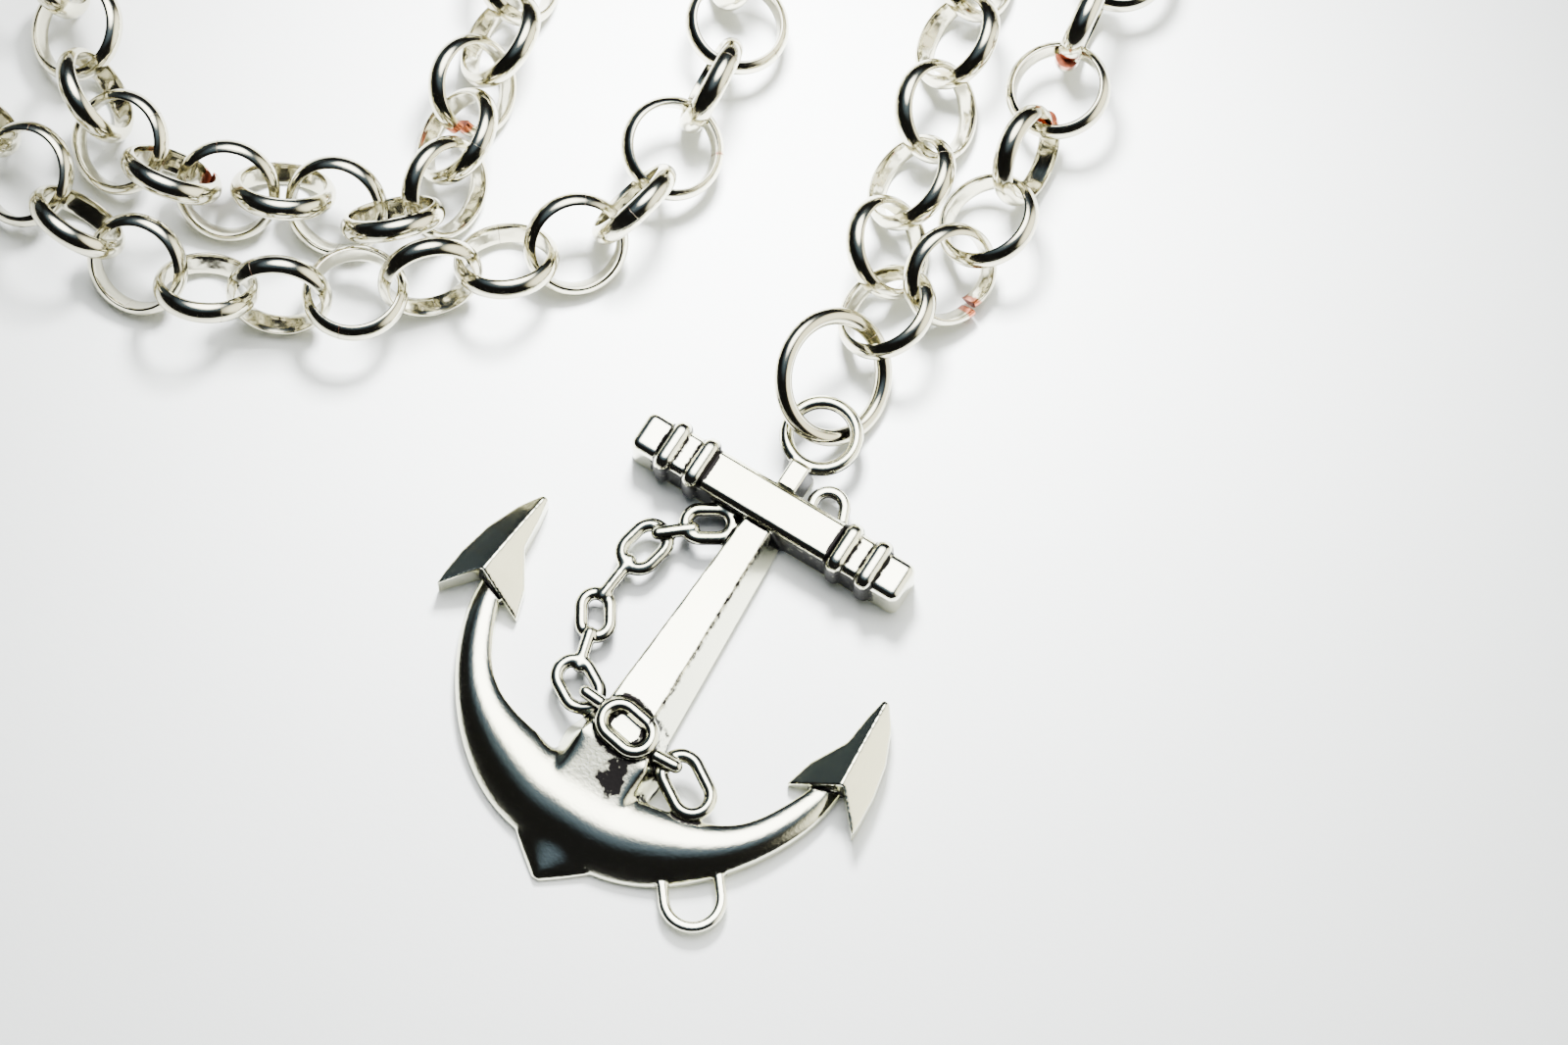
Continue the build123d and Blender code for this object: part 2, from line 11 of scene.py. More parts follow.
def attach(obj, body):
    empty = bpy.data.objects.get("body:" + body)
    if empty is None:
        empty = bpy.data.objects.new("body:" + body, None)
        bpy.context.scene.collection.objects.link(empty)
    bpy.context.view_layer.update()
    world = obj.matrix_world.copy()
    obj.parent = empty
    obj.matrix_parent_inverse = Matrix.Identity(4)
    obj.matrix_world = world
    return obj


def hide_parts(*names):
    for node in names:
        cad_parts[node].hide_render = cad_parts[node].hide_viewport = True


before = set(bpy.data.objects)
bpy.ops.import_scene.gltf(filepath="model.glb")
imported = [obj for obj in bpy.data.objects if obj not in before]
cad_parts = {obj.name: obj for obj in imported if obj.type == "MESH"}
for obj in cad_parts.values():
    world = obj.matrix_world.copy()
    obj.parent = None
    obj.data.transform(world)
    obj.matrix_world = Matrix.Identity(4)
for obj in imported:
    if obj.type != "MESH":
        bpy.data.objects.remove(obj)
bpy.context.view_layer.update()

# An anchor pendant on a jump ring and a rolo chain, lying on white paper. Metres, in the part's frame:
# X across the anchor, Y up its shank, Z up from the surface that everything lies on.
MM = 0.001

# The camera, which looks down at the paper from the anchor's lower right
TARGET = Vector((0.945 * MM, 28.668 * MM, 0))
CAMERA_TURN = math.radians(32.1)
CAMERA_ELEVATION = math.radians(72)
CAMERA_DISTANCE = 0.5
CAMERA_CLIP_START = 0.01
LENS_MM = 135
SENSOR_MM = 36

# Chain links, with a wall and a width a hair under the CAD ones, so that their round outsides stay in the
# CAD model's box
LINK_INNER_RADIUS = 3.7 * MM
LINK_WALL = 0.885 * MM
LINK_WIDTH = 2.07 * MM
LINK_CORNER = 0.22 * MM
# Shares of a corner: how much of it the dome leaves out at its end, and how deep its rounding goes
LINK_CORNER_OUTSIDE = 0.45
LINK_CORNER_DEPTH = 0.5
# Where the flat inside has its points, as a share of the half width
LINK_FLAT_SHARE = 0.4
LINK_STEPS = 70
LINK_DOME_STEPS = 9
LINK_CORNER_STEPS = 2
# Points of a ring that lie nearer its middle than this are on a link's inside
INSIDE_BELOW = LINK_INNER_RADIUS + 0.1 * MM

# Cuts through the links: narrowest and widest, and how far one may lie from its link's side
LINK_CUT = (0.01 * MM, 0.05 * MM)
LINK_CUT_SIDE = math.radians(38)
# How far a cut's ends may stand off along the ring's axis, and the power by which that fades round the ring
LINK_CUT_SHIFT = 0.015 * MM
SHIFT_POWER = 7
# How far worn plating reaches from a cut, and the most that a link's plating is worn
BARE_REACH = 1.7 * MM
WORN_MOST = 0.5
# Width of the last strip beside a cut, which keeps the shading on the ring's side clean
CUT_EDGE = 0.015 * MM
# One end of a wide open cut bends in over a share of the ring, so that its copper face shows
OPEN_CUT = 0.4 * MM
OPEN_BEND = 0.55 * MM
OPEN_BEND_SHARE = 0.13
# Where such cuts show, in millimetres across and up
OPEN_CUT_PLACES = [(5.4, 53.1), (2.7, 77.8), (0.9, 70.6), (-40.9, 42.6), (-58.0, 29.9)]
# A ring's two materials: plating all round, and copper on the faces of the cut
PLATED = 0
CUT_FACE = 1

# Jump ring
JUMP_MID_RADIUS = 5.2 * MM
JUMP_WIRE_RADIUS = 0.75 * MM
JUMP_CUT = 0.03 * MM
JUMP_CUT_AT = math.radians(352)
JUMP_WORN = 0.4
JUMP_STEPS = 160
JUMP_ROUND_STEPS = 28

# Cast metal: the step of the remeshed skin, how many rounds soften its edges, and the triangles it may take
CAST_STEP = 0.115 * MM
CAST_SOFTENING = 10
CAST_TRIANGLES = 190_000
CLASP_STEP = 0.16 * MM
CLASP_SOFTENING = 3
CLASP_TRIANGLES = 60_000
SOFTENING_SHARE = 0.5
# Rounds of smoothing that show how deep a recess is, and the lift that counts as fully deep
RECESS_ROUNDS = 26
RECESS_DEPTH = 0.11 * MM
# Smooth forms over the cast chain's links and, in the last row, the eye, in millimetres: middle, long and
# short outer size, turn in degrees, height of the wire's middle, and wire. The links' wires are thicker than
# the CAD ones, because the softening thins them.
CAST_WIRE = 1.2
EYE_WIRE = 1.24
CAST_OVALS = [
    (-4.0, 24.6, 5.2, 3.7, 32.0, 2.11, CAST_WIRE),
    (-7.6, 20.1, 5.5, 4.1, 78.0, 1.71, CAST_WIRE),
    (-7.9, 12.9, 5.0, 3.6, 122.0, 1.51, CAST_WIRE),
    (-5.8, 6.9, 5.6, 4.1, 150.0, 1.81, CAST_WIRE),
    (0.1, 5.4, 5.9, 4.2, 170.0, 3.81, CAST_WIRE),
    (6.7, 4.2, 6.5, 4.3, 148.0, 2.41, CAST_WIRE),
    (0.0, 36.2, 7.24, 7.24, 0.0, 2.7, EYE_WIRE),
]
# The links seen on edge, in millimetres: both ends, and the height of the middle
CAST_BARS = [
    (-4.9, 23.5, -7.2, 21.6, 2.21),
    (-8.0, 18.4, -8.3, 14.6, 1.71),
    (-7.4, 11.2, -6.6, 8.3, 1.81),
    (-4.6, 6.3, -1.6, 6.1, 3.41),
    (1.7, 4.7, 5.2, 4.9, 3.11),
]
ARC_STEPS = 28
WIRE_STEPS = 16
# Beads of casting metal left beside the hub, in millimetres: middle and radius, then how deep their middles
# are sunk, and a height over everything from which their places are looked for
BEADS = [
    (-2.55, -2.19, 0.22), (-1.63, -2.41, 0.25), (-0.11, -2.66, 0.2), (2.1, -1.87, 0.2), (3.35, -0.02, 0.3),
]
BEAD_SUNK = 0.1
ABOVE_CASTING = 20
# Distances under which two points are one: in metres for the CAD's points, in millimetres along a wire
SAME_POINT = 1e-7
SAME_STATION = 1e-4

# Joins that run into each other, in millimetres: middle and reach, and how steeply the smoothing fades there
SOFT_JOINS = [(0.0, -2.6, 5.2), (0.0, -6.6, 5.0), (-3.0, 2.2, 3.4), (0.4, 1.0, 4.2)]
SOFT_STEEPNESS = 1.6
SOFT_ROUNDS = 70
# Heights between which the joins are smoothed, each with its fade; nothing near the flat back moves
SOFT_FROM_HEIGHT = 1.0
SOFT_FROM_FADE = 0.5
SOFT_TO_HEIGHT = 3.6
SOFT_TO_FADE = 0.2

# Painted shade on steep walls inside the arms and along the stock's bar, in millimetres. A wall is steep
# where its normal's rise is under a value, with a fade.
STEEP_BELOW = 0.5
STEEP_FADE = 0.3
WALL_FROM_HEIGHT = 0.3
ARM_CENTRE_Y = 11.5
ARM_INNER_RADIUS = 10.6
ABOVE_ARMS_Y = 21.0
STOCK_BAR_REACH = 10.8
# The shank's foot and top, each a place up the anchor and a half width. Its right flank, and a little beyond
# it, stays bright up to a share of its length, and a painted dark reflection runs as a line along the middle
# of that half.
SHANK_FOOT = (6.5, 3.2)
SHANK_TOP = (27.5, 1.9)
SHANK_CLEAR = 0.05
SHANK_FLANK_TO = 0.94
SHANK_LINE_AT = 0.5
SHANK_LINE_WIDTH = 0.26
SHANK_LINE_PAINTED_REFLECTION = 0.42
SHANK_LINE_TO = 0.96
SHANK_LINE_FROM_HEIGHT = 2.3
# A painted dark reflection on the hub, as a patch: middle, turn, long and short reach, darkness, and the
# heights between which it lies
HUB_PATCH = (1.45, 1.35)
HUB_PATCH_TURN = math.radians(107)
HUB_PATCH_SIZE = (1.45, 0.7)
HUB_PATCH_PAINTED_REFLECTION = 2.2
HUB_PATCH_HEIGHTS = (1.5, 3.75)
# Dark lines beside the stock's collars: how far they lie from the shank's middle, and what they cover
STOCK_Y = 28.4
COLLAR_LINES = [6.4, 7.9, 9.25, 10.75]
COLLAR_LINE_WIDTH = 0.1
COLLAR_LINE_PATINA = 0.6
COLLAR_LINE_REACH = 2.6
COLLAR_LINE_FROM_HEIGHT = 2.0
# Polished bright inside the link over the hub: middle and reach
POLISHED = (0.0, 5.3, 1.25)

# Colours, where two are given the darker one first
BLACK = (0, 0, 0)
WHITE = (1, 1, 1)
SILVER_TONES = ((0.76, 0.755, 0.57), (0.83, 0.825, 0.67))
# Colour of the patina, and of the painted shade and painted dark reflections on the casting
PATINA_AND_SHADE_COLOUR = (0.011, 0.010, 0.010)
PLATE_TONES = ((0.56, 0.53, 0.39), (0.66, 0.635, 0.50))
BARE_COPPER = (0.40, 0.12, 0.06)
CUT_COPPER_TONES = ((0.10, 0.025, 0.012), (0.32, 0.09, 0.045))
PAPER_TONES = ((0.775, 0.805, 0.80), (0.815, 0.84, 0.84))

FLOOR_SIZE = 1.6

# Bright parts of the room: direction to the right, away and up, half-angles in degrees of full light and of
# none, colour, and strength
ROOM_LIGHTS = [
    (0.08, 0.35, 0.93, 9, 29, (1.0, 0.995, 0.97), 13.0),
    (0.95, -0.05, 0.30, 14, 42, (1.0, 0.97, 0.80), 4.0),
    (0.05, 0.28, 0.96, 16, 50, (0.45, 0.68, 1.0), 0.36),
    (-0.66, 0.72, 0.30, 3, 20, (0.55, 0.78, 1.0), 0.08),
]
ROOM_DIM = (0.012, 0.012, 0.013)
# The key light near the paper: its place and what it points at, to the right, away and up
KEY_PLACE = (0.0, 0.073, 0.093)
KEY_AIM = (-0.002, 0.022, 0)
KEY_SIZE = 0.03
KEY_SPREAD = math.radians(90)
KEY_POWER = 0.34

SEED = 11


def across_table(right, away, up):
    """A place given to the right of, away from and above the middle of the picture, in metres."""
    turned = Matrix.Rotation(CAMERA_TURN, 3, "Z") @ Vector((right, away, 0))
    return TARGET + turned + Vector((0, 0, up))


def new_piece(name, data):
    """An object that holds a mesh, a camera or a light, in the scene."""
    piece = bpy.data.objects.new(name, data)
    bpy.context.scene.collection.objects.link(piece)
    return piece


def apply_modifiers(piece):
    """Applies all of a piece's modifiers to its mesh."""
    graph = bpy.context.evaluated_depsgraph_get()
    mesh = bpy.data.meshes.new_from_object(piece.evaluated_get(graph))
    piece.modifiers.clear()
    piece.data = mesh


def smooth(mesh):
    """Shades a mesh smoothly."""
    mesh.polygons.foreach_set("use_smooth", [True] * len(mesh.polygons))
    mesh.update()


def store(mesh, name, values):
    """Stores a value for each point of a mesh, for its material to read."""
    attribute = mesh.attributes.new(name, "FLOAT", "POINT")
    attribute.data.foreach_set("value", np.array(values, np.float32))


# Materials

class Nodes:
    """Adds nodes to one material's tree and joins them up."""

    def __init__(self, name):
        self.material = bpy.data.materials.new(name)
        self.material.use_nodes = True
        self.tree = self.material.node_tree
        self.shader = self.tree.nodes["Principled BSDF"]

    def add(self, kind, settings=None, **inputs):
        node = self.tree.nodes.new(kind)
        for key, value in (settings or {}).items():
            setattr(node, key, value)
        for key, value in inputs.items():
            self.feed(node.inputs[key.replace("_", " ")], value)
        return node

    def feed(self, socket, value):
        if isinstance(value, bpy.types.NodeSocket):
            self.tree.links.new(value, socket)
        else:
            socket.default_value = value

    def noise(self, scale, detail, roughness=0.5):
        """Noise in the object's own space, with a scale per metre."""
        place = self.add("ShaderNodeTexCoord").outputs["Object"]
        node = self.add("ShaderNodeTexNoise", Vector=place, Scale=scale, Detail=detail, Roughness=roughness)
        return node.outputs["Fac"]

    def ramp(self, value, low, high):
        """Blends from a low stop to a high one, each a position and a colour."""
        node = self.add("ShaderNodeValToRGB", Fac=value)
        for element, (position, colour) in zip(node.color_ramp.elements, (low, high)):
            element.position = position
            element.color = (*colour, 1)
        return node.outputs["Color"]

    def attribute(self, name):
        return self.add("ShaderNodeAttribute", {"attribute_name": name}).outputs["Fac"]

    def math(self, operation, a, b):
        node = self.add("ShaderNodeMath", {"operation": operation})
        self.feed(node.inputs[0], a)
        self.feed(node.inputs[1], b)
        return node.outputs[0]

    def mix(self, share, worked_out, plain):
        """Blends a colour that other nodes work out into a plain one."""
        node = self.add("ShaderNodeMix", {"data_type": "RGBA"}, Factor=share, A=worked_out, B=(*plain, 1))
        return node.outputs["Result"]

    def bump(self, height, strength, distance):
        node = self.add("ShaderNodeBump", Height=height, Strength=strength, Distance=distance)
        self.feed(self.shader.inputs["Normal"], node.outputs["Normal"])

    def set(self, **inputs):
        for key, value in inputs.items():
            self.feed(self.shader.inputs[key.replace("_", " ")], value)


def grey(level):
    """A grey colour, which stands for a value that varies over the surface."""
    return (level, level, level)


def antique_silver():
    """Bright polished casting metal, blackened where polishing doesn't reach, with painted shade on steep
    walls and painted dark reflections on the shank and hub.
    """
    n = Nodes("antique_silver")
    mottle = n.ramp(n.noise(scale=1500, detail=6, roughness=0.7), (0.36, BLACK), (0.64, WHITE))
    uneven = n.math("SUBTRACT", mottle, 0.5)
    # Patina in the recesses, and from the shade attribute painted shade, painted dark reflections and collar
    # patina
    patina_and_shade = n.math("MAXIMUM", n.attribute("recess"), n.attribute("shade"))
    dark = n.math("ADD", patina_and_shade, n.math("MULTIPLY", uneven, n.math("MULTIPLY", patina_and_shade, 1.2)))
    patina_and_shade_share = n.ramp(dark, (0.2, BLACK), (0.5, WHITE))
    tone = n.ramp(n.noise(scale=90, detail=2), (0.35, SILVER_TONES[0]), (0.7, SILVER_TONES[1]))
    n.set(
        Base_Color=n.mix(patina_and_shade_share, tone, PATINA_AND_SHADE_COLOUR),
        Metallic=1.0,
        Roughness=n.ramp(patina_and_shade_share, (0.0, grey(0.13)), (1.0, grey(0.38))),
    )
    grain = n.math("MULTIPLY", n.noise(scale=3200, detail=4, roughness=0.6), 0.7)
    n.bump(n.math("ADD", n.noise(scale=420, detail=3), grain), strength=0.24, distance=0.06 * MM)
    return n.material


def silver_plate():
    """Bright, slightly warm plating, lumpy inside the links and worn through to copper beside the cuts."""
    n = Nodes("silver_plate")
    rough = n.noise(scale=1500, detail=4, roughness=0.6)
    wear = n.math("MULTIPLY", n.attribute("bare"), n.math("ADD", rough, 0.45))
    worn = n.ramp(wear, (0.42, BLACK), (0.58, WHITE))
    tone = n.ramp(n.noise(scale=60, detail=2), (0.3, PLATE_TONES[0]), (0.7, PLATE_TONES[1]))
    n.set(
        Base_Color=n.mix(worn, tone, BARE_COPPER),
        Metallic=1.0,
        Roughness=n.ramp(rough, (0.3, grey(0.10)), (0.75, grey(0.17))),
    )
    lumpiness = n.math("ADD", n.math("MULTIPLY", n.attribute("inside"), 2.4), 0.5)
    lumps = n.math("MULTIPLY", n.noise(scale=620, detail=2), lumpiness)
    n.bump(lumps, strength=0.35, distance=0.06 * MM)
    return n.material


def cut_copper():
    """The copper core at a cut end."""
    n = Nodes("cut_copper")
    tone = n.ramp(n.noise(scale=1800, detail=3), (0.3, CUT_COPPER_TONES[0]), (0.75, CUT_COPPER_TONES[1]))
    n.set(Base_Color=tone, Metallic=0.7, Roughness=0.5)
    return n.material


def white_paper():
    """Matt white paper with a faint grain."""
    n = Nodes("white_paper")
    n.set(
        Base_Color=n.ramp(n.noise(scale=14, detail=3), (0.3, PAPER_TONES[0]), (0.7, PAPER_TONES[1])),
        Roughness=0.9,
        Specular_IOR_Level=0.15,
    )
    n.bump(n.noise(scale=900, detail=5, roughness=0.65), strength=0.25, distance=0.12 * MM)
    return n.material


# Shapes read from the frame

def islands(node):
    """The points of each loose solid of a CAD node, as arrays."""
    bm = bmesh.new()
    bm.from_mesh(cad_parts[node].data)
    bmesh.ops.remove_doubles(bm, verts=bm.verts, dist=SAME_POINT)
    found = []
    seen = set()
    for start in bm.verts:
        if start in seen:
            continue
        seen.add(start)
        waiting = [start]
        points = []
        while waiting:
            vert = waiting.pop()
            points.append(vert.co[:])
            for edge in vert.link_edges:
                other = edge.other_vert(vert)
                if other not in seen:
                    seen.add(other)
                    waiting.append(other)
        found.append(np.array(points))
    bm.free()
    return found


def ring_place(points):
    """Middle and axis of a ring, from its points."""
    middle = (points.max(0) + points.min(0)) / 2
    spread = points - points.mean(0)
    axis = np.linalg.eigh(spread.T @ spread)[1][:, 0]
    axis = axis if axis[2] >= 0 else -axis
    return Vector(middle), Vector(axis)


def turned_place(middle, axis, along):
    """The place of a ring round an axis, turned so that its X points along a direction."""
    along = (along - axis * along.dot(axis)).normalized()
    turned = Matrix((along, axis.cross(along), axis)).transposed().to_4x4()
    return Matrix.Translation(middle) @ turned


# Links and jump ring

class CutRings:
    """Rings of one section, each with a cut through it, that make one mesh."""

    def __init__(self, profile, steps):
        self.profile = profile
        self.steps = steps
        self.radius = max(point[0] for point in profile)
        self.verts = []
        self.faces = []
        self.materials = []
        self.bare = []
        self.inside = []

    def add(self, place, cut_at, cut_width, worn, shift=0, bend=0):
        """Adds a ring, worn beside its cut, with its ends shifted along its axis and one of them bent in."""
        half_cut = cut_width / 2 / self.radius
        edge = CUT_EDGE / (2 * math.pi * self.radius)
        shares = [0, edge] + [i / self.steps for i in range(1, self.steps)] + [1 - edge, 1]
        first = len(self.verts)
        for share in shares:
            angle = cut_at + half_cut + (2 * math.pi - 2 * half_cut) * share
            from_cut = min(share, 1 - share) * 2 * math.pi * self.radius
            lift = shift * (2 * share - 1) ** SHIFT_POWER
            inward = bend * max(0.0, 1 - share / OPEN_BEND_SHARE) ** 2
            for r, z in self.profile:
                self.bare.append(worn * max(0.0, 1 - from_cut / BARE_REACH))
                self.inside.append(r < INSIDE_BELOW)
                r -= inward
                self.verts.append(place @ Vector((r * math.cos(angle), r * math.sin(angle), z + lift)))
        count = len(self.profile)
        last = len(self.verts) - count
        for start in range(first, last, count):
            for j in range(count):
                a, b = start + j, start + (j + 1) % count
                self.faces.append((a, a + count, b + count, b))
                self.materials.append(PLATED)
        self.faces.append(tuple(range(first, first + count)))
        self.faces.append(tuple(reversed(range(last, last + count))))
        self.materials += [CUT_FACE, CUT_FACE]

    def mesh(self, name):
        """The rings' mesh, with how bare of plating each point is, and whether it is on a link's inside."""
        mesh = bpy.data.meshes.new(name)
        mesh.from_pydata(self.verts, [], self.faces)
        mesh.polygons.foreach_set("material_index", self.materials)
        store(mesh, "bare", self.bare)
        store(mesh, "inside", self.inside)
        bm = bmesh.new()
        bm.from_mesh(mesh)
        bmesh.ops.recalc_face_normals(bm, faces=bm.faces)
        bm.to_mesh(mesh)
        bm.free()
        smooth(mesh)
        for polygon in mesh.polygons:
            if polygon.material_index == CUT_FACE:
                polygon.use_smooth = False
        mesh.materials.append(plate)
        mesh.materials.append(copper)
        return mesh


def link_profile():
    """Section of a link as radius and height: a flat inside, round corners and a domed outside."""
    half = LINK_WIDTH / 2
    dome_radius = (half**2 + LINK_WALL**2) / (2 * LINK_WALL)
    dome_middle = LINK_INNER_RADIUS + LINK_WALL - dome_radius
    reach = math.asin((half - LINK_CORNER * LINK_CORNER_OUTSIDE) / dome_radius)
    points = []
    for k in range(LINK_DOME_STEPS + 1):
        angle = -reach + 2 * reach * k / LINK_DOME_STEPS
        points.append((dome_middle + dome_radius * math.cos(angle), dome_radius * math.sin(angle)))
    for side in (1, -1):
        corner = []
        for k in range(1, LINK_CORNER_STEPS + 1):
            share = k / (LINK_CORNER_STEPS + 1)
            corner.append((
                LINK_INNER_RADIUS + LINK_CORNER * LINK_CORNER_DEPTH * (1 - share) ** 2,
                side * (half - LINK_CORNER * share**2),
            ))
        flat = (LINK_INNER_RADIUS, side * half * LINK_FLAT_SHARE)
        points += corner + [flat] if side > 0 else [flat] + corner[::-1]
    return points


def make_chain():
    """The chain's links where the CAD ones lie, each with its own small cut beside the run."""
    draw = random.Random(SEED)
    places = [ring_place(points) for points in islands("chain")]
    for middle, _ in places:
        middle.freeze()
    rim = LINK_INNER_RADIUS + LINK_WALL / 2
    open_at = {}
    for spot in OPEN_CUT_PLACES:
        spot = Vector(spot) * MM
        nearest = min(places, key=lambda place: abs((place[0].xy - spot).length - rim))[0]
        open_at[nearest] = spot
    rings = CutRings(link_profile(), LINK_STEPS)
    for middle, axis in places:
        beside = sorted(places, key=lambda other: (other[0] - middle).length)[1:3]
        place = turned_place(middle, axis, beside[0][0] - beside[1][0])
        side = math.pi / 2 if draw.random() < 0.5 else -math.pi / 2
        cut_at = side + draw.uniform(-LINK_CUT_SIDE, LINK_CUT_SIDE)
        cut_width = draw.uniform(*LINK_CUT)
        shift = draw.uniform(-LINK_CUT_SHIFT, LINK_CUT_SHIFT)
        worn = draw.uniform(0, WORN_MOST)
        bend = 0
        if middle in open_at:
            spot = place.inverted() @ Vector((*open_at[middle], middle.z))
            cut_at = math.atan2(spot.y, spot.x)
            cut_width, worn, bend = OPEN_CUT, 1.0, OPEN_BEND
        rings.add(place, cut_at, cut_width, worn, shift, bend)
    piece = new_piece("chain_links", rings.mesh("chain_links"))
    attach(piece, "root")
    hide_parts("chain")


def make_jump_ring():
    """The jump ring, a round wire with a fine cut."""
    middle, axis = ring_place(islands("jump_ring")[0])
    profile = []
    for k in range(JUMP_ROUND_STEPS):
        angle = 2 * math.pi * k / JUMP_ROUND_STEPS
        profile.append((
            JUMP_MID_RADIUS + JUMP_WIRE_RADIUS * math.cos(angle),
            JUMP_WIRE_RADIUS * math.sin(angle),
        ))
    rings = CutRings(profile, JUMP_STEPS)
    rings.add(turned_place(middle, axis, Vector((0, 1, 0))), JUMP_CUT_AT, JUMP_CUT, JUMP_WORN)
    piece = new_piece("jump_ring_wire", rings.mesh("jump_ring_wire"))
    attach(piece, "root")
    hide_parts("jump_ring")


# Casting and clasp

def add_tube(bm, stations, closed):
    """Adds a round tube that lies flat through stations, each a place and a radius."""
    rings = []
    count = len(stations)
    for i, (middle, radius) in enumerate(stations):
        before = stations[(i - 1) % count if closed else max(i - 1, 0)][0]
        after = stations[(i + 1) % count if closed else min(i + 1, count - 1)][0]
        side = (after - before).cross(Vector((0, 0, 1))).normalized()
        ring = []
        for k in range(WIRE_STEPS):
            angle = 2 * math.pi * k / WIRE_STEPS
            offset = side * (radius * math.cos(angle)) + Vector((0, 0, radius * math.sin(angle)))
            ring.append(bm.verts.new((middle + offset) * MM))
        rings.append(ring)
    for i in range(count if closed else count - 1):
        a, b = rings[i], rings[(i + 1) % count]
        for k in range(WIRE_STEPS):
            bm.faces.new((a[k], a[(k + 1) % WIRE_STEPS], b[(k + 1) % WIRE_STEPS], b[k]))
    if not closed:
        bm.faces.new(rings[0])
        bm.faces.new(rings[-1][::-1])


def oval_stations(x, y, length, width, turn, height, wire):
    """Places and radii along the wire of an oval that lies flat."""
    bend = (width - wire) / 2
    reach = (length - width) / 2
    turned = Matrix.Rotation(math.radians(turn), 3, "Z")
    stations = []
    for side, start in ((1, -90), (-1, 90)):
        for k in range(ARC_STEPS + 1):
            angle = math.radians(start + 180 * k / ARC_STEPS)
            place = Vector((side * reach + bend * math.cos(angle), bend * math.sin(angle), 0))
            place = turned @ place + Vector((x, y, height))
            if not stations or (place - stations[-1][0]).length > SAME_STATION:
                stations.append((place, wire / 2))
    if (stations[0][0] - stations[-1][0]).length < SAME_STATION:
        stations.pop()
    return stations


def bar_stations(from_x, from_y, to_x, to_y, height):
    """Places and radii along a bar with round ends."""
    radius = CAST_WIRE / 2
    steps = ARC_STEPS // 2
    ends = Vector((from_x, from_y, height)), Vector((to_x, to_y, height))
    along = (ends[1] - ends[0]).normalized()
    stations = []
    for end, first in zip(ends, (-90, 0)):
        for k in range(steps):
            angle = math.radians(first + 90 * (k + 0.5) / steps)
            stations.append((end + along * (radius * math.sin(angle)), radius * math.cos(angle)))
    return stations


def add_cast_chain(bm):
    """Adds the smooth forms of the cast chain's links and of the eye."""
    for oval in CAST_OVALS:
        add_tube(bm, oval_stations(*oval), closed=True)
    for bar in CAST_BARS:
        add_tube(bm, bar_stations(*bar), closed=False)


def add_beads(bm):
    """Adds the small beads beside the hub, half sunk in the surface beneath them."""
    tree = BVHTree.FromBMesh(bm)
    for x, y, radius in BEADS:
        hit = tree.ray_cast(Vector((x, y, ABOVE_CASTING)) * MM, Vector((0, 0, -1)))[0]
        place = Matrix.Translation(hit - Vector((0, 0, BEAD_SUNK * MM)))
        bmesh.ops.create_icosphere(bm, subdivisions=2, radius=radius * MM, matrix=place)


def neighbours(mesh):
    """Both ends of each edge, and how many edges each point has."""
    edges = np.empty(len(mesh.edges) * 2, int)
    mesh.edges.foreach_get("vertices", edges)
    a, b = edges.reshape(-1, 2).T
    count = len(mesh.vertices)
    return a, b, np.bincount(a, minlength=count) + np.bincount(b, minlength=count)


def averaged(places, a, b, beside):
    """Each point's neighbours' average place."""
    total = np.zeros_like(places)
    count = len(places)
    for k in range(3):
        total[:, k] = np.bincount(a, places[b, k], count) + np.bincount(b, places[a, k], count)
    return total / beside[:, None]


def vectors(mesh, kind):
    """The mesh's places or normals as an array."""
    values = np.empty(len(mesh.vertices) * 3)
    mesh.vertices.foreach_get(kind, values)
    return values.reshape(-1, 3)


def blend_joins(mesh):
    """Smooths the casting where the hub and the crown's point run into the arms."""
    places = vectors(mesh, "co")
    a, b, beside = neighbours(mesh)
    share = np.zeros(len(places))
    for x, y, reach in SOFT_JOINS:
        away = np.hypot(places[:, 0] / MM - x, places[:, 1] / MM - y) / reach
        share = np.maximum(share, np.clip(SOFT_STEEPNESS * (1 - away), 0, 1))
    share *= np.clip((places[:, 2] / MM - SOFT_FROM_HEIGHT) / SOFT_FROM_FADE, 0, 1)
    share *= np.clip((SOFT_TO_HEIGHT - places[:, 2] / MM) / SOFT_TO_FADE, 0, 1)
    for _ in range(SOFT_ROUNDS):
        places += share[:, None] * (averaged(places, a, b, beside) - places)
    mesh.vertices.foreach_set("co", places.ravel())
    mesh.update()


def lift_to_table(mesh):
    """Lifts points that the softening left under the table up to it."""
    places = vectors(mesh, "co")
    np.maximum(places[:, 2], 0, out=places[:, 2])
    mesh.vertices.foreach_set("co", places.ravel())


def softened_copy(node, name, step, softening, triangles, additions=(), finish=None):
    """A fine skin over a CAD node's solids, with softened edges as a casting has."""
    piece = new_piece(name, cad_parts[node].data.copy())
    bm = bmesh.new()
    bm.from_mesh(piece.data)
    bmesh.ops.remove_doubles(bm, verts=bm.verts, dist=SAME_POINT)
    for addition in additions:
        addition(bm)
    bmesh.ops.recalc_face_normals(bm, faces=bm.faces)
    bm.to_mesh(piece.data)
    bm.free()
    remesh = piece.modifiers.new("skin", "REMESH")
    remesh.mode = "VOXEL"
    remesh.voxel_size = step
    remesh.use_smooth_shade = True
    soften = piece.modifiers.new("soften", "SMOOTH")
    soften.factor = SOFTENING_SHARE
    soften.iterations = softening
    apply_modifiers(piece)
    if finish:
        finish(piece.data)
    quads = len(piece.data.polygons)
    thin = piece.modifiers.new("thin", "DECIMATE")
    thin.ratio = min(1.0, triangles / (2 * quads))
    apply_modifiers(piece)
    lift_to_table(piece.data)
    piece.data.materials.clear()
    smooth(piece.data)
    return piece


def near(value, width):
    """1 at nought, falling off softly over a width."""
    return np.exp(-((value / width) ** 2))


